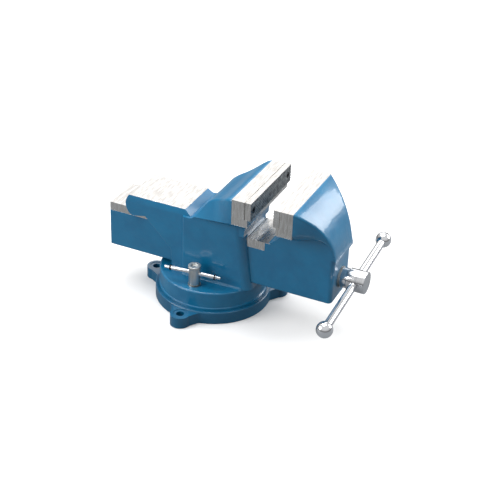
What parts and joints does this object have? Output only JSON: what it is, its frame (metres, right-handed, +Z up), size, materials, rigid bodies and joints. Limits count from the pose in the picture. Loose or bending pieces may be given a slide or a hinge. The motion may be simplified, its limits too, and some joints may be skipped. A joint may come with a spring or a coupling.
{
  "type": "bench vise",
  "caption": "Swivel-base bench vise with a cast body, anvil, serrated jaw plates, lead screw with a sliding ball-ended handle, and swivel lock nuts with sliding bars.",
  "frame": {"origin": "swivel axis where the base meets the bench", "axes": "+X along the slide towards the handle, +Z up, +Y completes the right-handed frame"},
  "size_m": [0.4301, 0.2725, 0.2244],
  "materials": {
    "blue_enamel": "glossy enamel on cast iron, ground bare on the anvil, seats and slide",
    "hardened_steel": "serrated, ground on the edges",
    "blackened_steel": "black oxide",
    "bronze": "machined",
    "zinc_steel": "zinc plated",
    "dull_zinc": "dull plated",
    "chromed_steel": "bright chrome"
  },
  "bodies": {
    "base": {"swivel_base": "blue_enamel"},
    "vise_body": {"body_casting": "blue_enamel", "fixed_jaw_plate": "hardened_steel", "fixed_jaw_screws": "blackened_steel", "main_nut": "bronze", "main_nut_bolt": "zinc_steel", "clamp_bolt_left": "zinc_steel", "clamp_bolt_right": "zinc_steel", "lock_washer_left": "zinc_steel", "lock_washer_right": "zinc_steel"},
    "left_lock": {"lock_nut_left": "dull_zinc"},
    "right_lock": {"lock_nut_right": "dull_zinc"},
    "left_lock_bar": {"lock_bar_left": "chromed_steel", "lock_bar_rings_left": "blackened_steel"},
    "right_lock_bar": {"lock_bar_right": "chromed_steel", "lock_bar_rings_right": "blackened_steel"},
    "moving_jaw": {"moving_jaw_casting": "blue_enamel", "moving_jaw_plate": "hardened_steel", "moving_jaw_screws": "blackened_steel"},
    "spindle": {"lead_screw": "chromed_steel", "thrust_washer": "zinc_steel", "spindle_collar": "zinc_steel", "spindle_pin": "zinc_steel"},
    "handle": {"handle_bar": "chromed_steel", "handle_knob_near": "chromed_steel", "handle_knob_far": "chromed_steel"}
  },
  "joints": [
    {"name": "body_swivel", "type": "hinge", "parent": "base", "child": "vise_body", "pos_m": [0, 0, 0], "axis": [0, 0, 1], "continuous": true},
    {"name": "jaw_slide", "type": "slide", "parent": "vise_body", "child": "moving_jaw", "axis": [1, 0, 0], "range_m": [-0.0351, 0.114]},
    {"name": "screw_turn", "type": "hinge", "parent": "moving_jaw", "child": "spindle", "pos_m": [0.217, 0, 0.0945], "axis": [1, 0, 0], "range_deg": [-2520, 8200]},
    {"name": "handle_slide", "type": "slide", "parent": "spindle", "child": "handle", "axis": [0, 0.9956, 0.0941], "range_m": [-0.089, 0.1]},
    {"name": "lock_turn_left", "type": "hinge", "parent": "vise_body", "child": "left_lock", "pos_m": [-0.001, -0.067, 0.0734], "axis": [0, 0, 1], "range_deg": [-18, 9]},
    {"name": "lock_turn_right", "type": "hinge", "parent": "vise_body", "child": "right_lock", "pos_m": [-0.001, 0.067, 0.0734], "axis": [0, 0, 1], "range_deg": [-9, 18]},
    {"name": "lock_bar_slide_left", "type": "slide", "parent": "left_lock", "child": "left_lock_bar", "axis": [0.9962, 0.0872, 0], "range_m": [-0.012, 0.012]},
    {"name": "lock_bar_slide_right", "type": "slide", "parent": "right_lock", "child": "right_lock_bar", "axis": [0.9962, -0.0872, 0], "range_m": [-0.012, 0.012]}
  ],
  "couplings": [
    {"joint": "jaw_slide", "follows": "screw_turn", "m_per_rad": 0.00079577}
  ]
}
